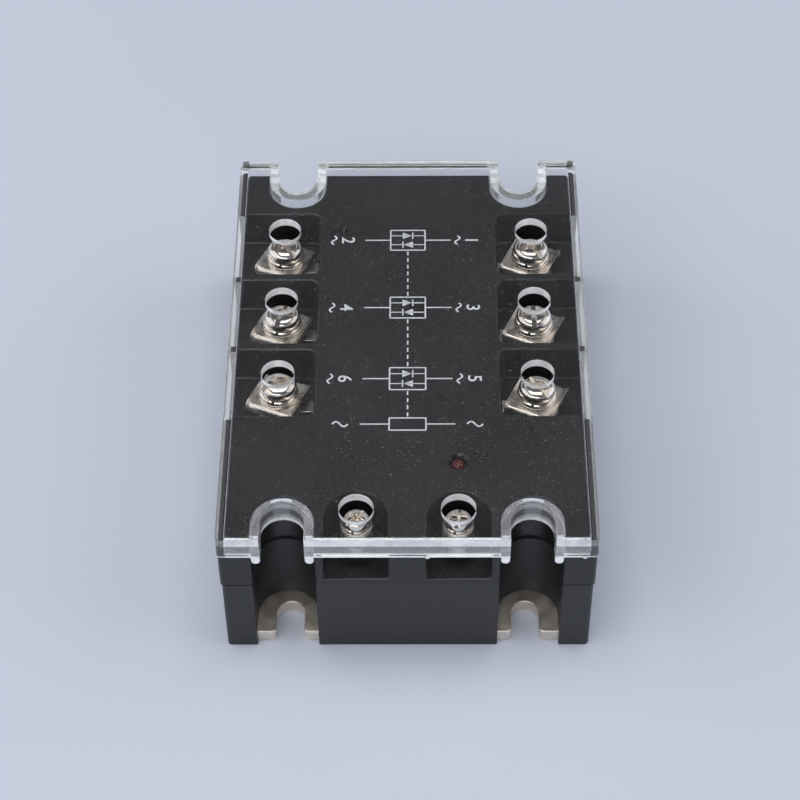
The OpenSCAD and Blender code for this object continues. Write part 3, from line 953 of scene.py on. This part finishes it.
def wave(x, y, length, turn):
    """A printed alternating-current sign."""
    steps = 20
    points = []
    for i in range(steps + 1):
        t = i / steps
        points.append(((t - 0.5) * length, 0.2 * length * math.sin(2 * math.pi * t)))
    return place(stroke(points, 0.36), x, y, 0, turn)


def digit(text, x, y, height, turn):
    """A printed terminal number."""
    curve = bpy.data.curves.new("digit", "FONT")
    curve.body = text
    curve.align_x = "CENTER"
    curve.align_y = "CENTER"
    curve.size = height / 0.7 * MM
    curve.offset = 0.02 * MM
    graph = bpy.context.evaluated_depsgraph_get()
    maker = bpy.data.objects.new("digit", curve)
    bpy.context.scene.collection.objects.link(maker)
    graph.update()
    mesh = bpy.data.meshes.new_from_object(maker.evaluated_get(graph), depsgraph=graph)
    bpy.data.objects.remove(maker)
    return place(link("digit", mesh), x, y, 0, turn)


def outline_box(x, y, w, h):
    """A printed rectangle."""
    x0, x1, y0, y1 = x - w / 2, x + w / 2, y - h / 2, y + h / 2
    corners = [(x0, y0), (x1, y0), (x1, y1), (x0, y1)]
    return [stroke([corners[i], corners[(i + 1) % 4]]) for i in range(4)]


def dashed(y0, y1):
    """A printed dashed line down the middle, from y0 to y1."""
    dashes = round((y0 - y1) / 2)
    step = (y0 - y1) / dashes
    middles = [y0 - (k + 0.5) * step for k in range(dashes)]
    return [stroke([(0, y + 0.28 * step), (0, y - 0.28 * step)]) for y in middles]


def thyristor_symbol(y):
    """A printed box with two thyristors in it, and its two terminal lines."""
    edge, reach = SYMBOL_W / 2, 9.2
    prints = outline_box(0, y, SYMBOL_W, SYMBOL_H)
    prints += [stroke([(s * edge, y), (s * reach, y)]) for s in SIDES]
    for s in SIDES:
        row, half = y + s * 1.35, 0.95
        prints.append(filled([(-s * 1.1, row - half), (-s * 1.1, row + half), (s * 0.9, row)]))
        prints.append(stroke([(s * 1.05, row - half), (s * 1.05, row + half)], 0.28))
        prints.append(stroke([(-edge, row), (edge, row)], 0.24))
    return prints


def markings():
    """Terminal numbers, wave signs and a plain wiring diagram, printed on the top."""
    prints = []
    rows = []
    for n in range(1, 7):
        x, y = middle(f"power_screw_{n}")
        x, y = math.copysign(LABEL_X, x), y + LABEL_SHIFT
        prints.append(digit(str(n), x + 0.3, y, 2.8, -90))
        prints.append(wave(x - 2.6, y, 2.6, -90))
        if n % 2:
            rows.append(y)
    for y in rows:
        prints += thyristor_symbol(y)

    input_y, input_h = -21.9, 3.2
    tops = [y - SYMBOL_H / 2 for y in rows]
    ends = [y + SYMBOL_H / 2 for y in rows[1:]] + [input_y + input_h / 2]
    for top, end in zip(tops, ends):
        prints += dashed(top, end)
    prints += outline_box(0, input_y, SYMBOL_W, input_h)
    prints += [stroke([(s * SYMBOL_W / 2, input_y), (s * 9.6, input_y)]) for s in SIDES]
    prints += [wave(s * 13.6, input_y, 3.2, 0) for s in SIDES]

    sheet = place(merged(prints), 0, 0, TOP_Z + 0.015)
    finished(sheet, "markings", HOUSING, "white_plastic", INK)


# ---------------------------------------------------------------- inner parts

INNER = {
    "ceramic_tile": mottled("alumina", (0.82, 0.82, 0.78), 0.55, 0.8, spread=0.06),
    "copper_pads": mottled("bonded_copper", (0.72, 0.38, 0.24), 0.35, 1.2, 1.0, 0.12),
    "thyristor_pair": mottled("silicon_die", (0.16, 0.17, 0.2), 0.2, 1.0, 0.6, 0.1),
    "power_nuts": NICKEL_BAR,
    "control_board": circuit_board(),
    "board_pillars": mottled("white_nylon", (0.75, 0.75, 0.7), 0.5, 2.0, spread=0.05),
    "optocouplers": mottled("white_epoxy", (0.78, 0.78, 0.75), 0.45, 1.0, spread=0.05),
    "snubber_capacitors": mottled("amber_dip", (0.5, 0.24, 0.03), 0.25, 2.0),
    "snubber_resistors": mottled("blue_lacquer", (0.16, 0.27, 0.4), 0.3, 0.8, spread=0.1),
    "bridge_rectifier": mottled("black_epoxy", (0.02, 0.02, 0.022), 0.5, 0.6),
    "input_capacitor": mottled("blue_sleeve", (0.03, 0.06, 0.18), 0.28, 3.0, spread=0.1),
    "potting": mottled("grey_potting", (0.09, 0.09, 0.1), 0.45, 4.0),
}


def dress_inner_parts():
    """Gives the CAD nodes inside the housing their materials."""
    for name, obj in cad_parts.items():
        for start, material in INNER.items():
            if name.startswith(start):
                obj.data.materials.clear()
                obj.data.materials.append(material)


# ---------------------------------------------------------------- studio

def floor():
    """Pale floor that runs far out in every direction."""
    paint = Paint("floor_paper")
    clouds = paint.range(paint.noise(300.0, 2.0), 0.3, 0.7, 0, 1)
    colour = paint.mixed(clouds, (0.685, 0.735, 0.855), (0.715, 0.765, 0.885))
    paint.set(Base_Color=colour, Roughness=0.9, Specular_IOR_Level=0.1)
    reach = 5000.0
    sheet = prism(circle(0, 0, reach, 96), -2.0, -0.02)
    sheet.name = "floor"
    sheet.data.materials.append(paint.material)


def softbox(name, x, y, z, width, height, power):
    """Area lamp at a point in metres, aimed at the object."""
    data = bpy.data.lights.new(name, "AREA")
    data.shape = "RECTANGLE"
    data.size = width
    data.size_y = height
    data.energy = power
    lamp_object = bpy.data.objects.new(name, data)
    bpy.context.scene.collection.objects.link(lamp_object)
    lamp_object.location = (x, y, z)
    aim = Vector((0, 0, 0.02)) - lamp_object.location
    lamp_object.rotation_euler = aim.to_track_quat("-Z", "Y").to_euler()


def studio():
    """Soft lamps round the object, and a world that is pale low down and dim above."""
    softbox("overhead", 0.0, 0.1, 0.95, 0.7, 0.5, 2.6)
    softbox("left", -0.85, -0.05, 0.55, 0.95, 1.0, 3.3)
    softbox("right", 0.85, 0.05, 0.5, 0.9, 1.0, 2.7)
    softbox("front", -0.3, -0.78, 0.7, 1.1, 0.28, 2.9)
    world = bpy.data.worlds.new("studio_world")
    bpy.context.scene.world = world
    world.use_nodes = True
    tree = world.node_tree
    back = tree.nodes["Background"]
    coords = tree.nodes.new("ShaderNodeTexCoord")
    split = tree.nodes.new("ShaderNodeSeparateXYZ")
    ramp = tree.nodes.new("ShaderNodeValToRGB")
    pale, dim = (1.0, 1.05, 1.18, 1), (0.065, 0.068, 0.075, 1)
    ramp.color_ramp.elements[0].position = 0.22
    ramp.color_ramp.elements[0].color = pale
    ramp.color_ramp.elements[1].position = 0.45
    ramp.color_ramp.elements[1].color = dim
    tree.links.new(coords.outputs["Generated"], split.inputs[0])
    tree.links.new(split.outputs["Z"], ramp.inputs[0])
    tree.links.new(ramp.outputs[0], back.inputs[0])


def camera():
    """Long lens from the front and well above."""
    data = bpy.data.cameras.new("camera")
    data.sensor_width = 36
    data.lens = 103.0
    data.clip_start, data.clip_end = 0.05, 20
    cam = bpy.data.objects.new("camera", data)
    bpy.context.scene.collection.objects.link(cam)
    at = Vector((2.08, -320.41, 383.59)) * MM
    yaw, pitch, roll = math.radians(-0.679), math.radians(48.954), math.radians(-0.617)
    ahead = Vector((math.sin(yaw) * math.cos(pitch), math.cos(yaw) * math.cos(pitch), -math.sin(pitch)))
    level = Vector((math.cos(yaw), -math.sin(yaw), 0))
    up = level.cross(ahead)
    right = math.cos(roll) * level + math.sin(roll) * up
    above = math.cos(roll) * up - math.sin(roll) * level
    turn = Matrix((right, above, -ahead)).transposed().to_4x4()
    cam.matrix_world = Matrix.Translation(at) @ turn
    bpy.context.scene.camera = cam


camera()
floor()
studio()
base_plate()
lower_shell()
upper_shell()
cover_shell()
for terminal in range(1, 7):
    power_hardware(terminal)
for terminal in (1, 2):
    input_hardware(terminal)
lamp()
markings()
dress_inner_parts()
bpy.context.scene.view_settings.view_transform = "Standard"
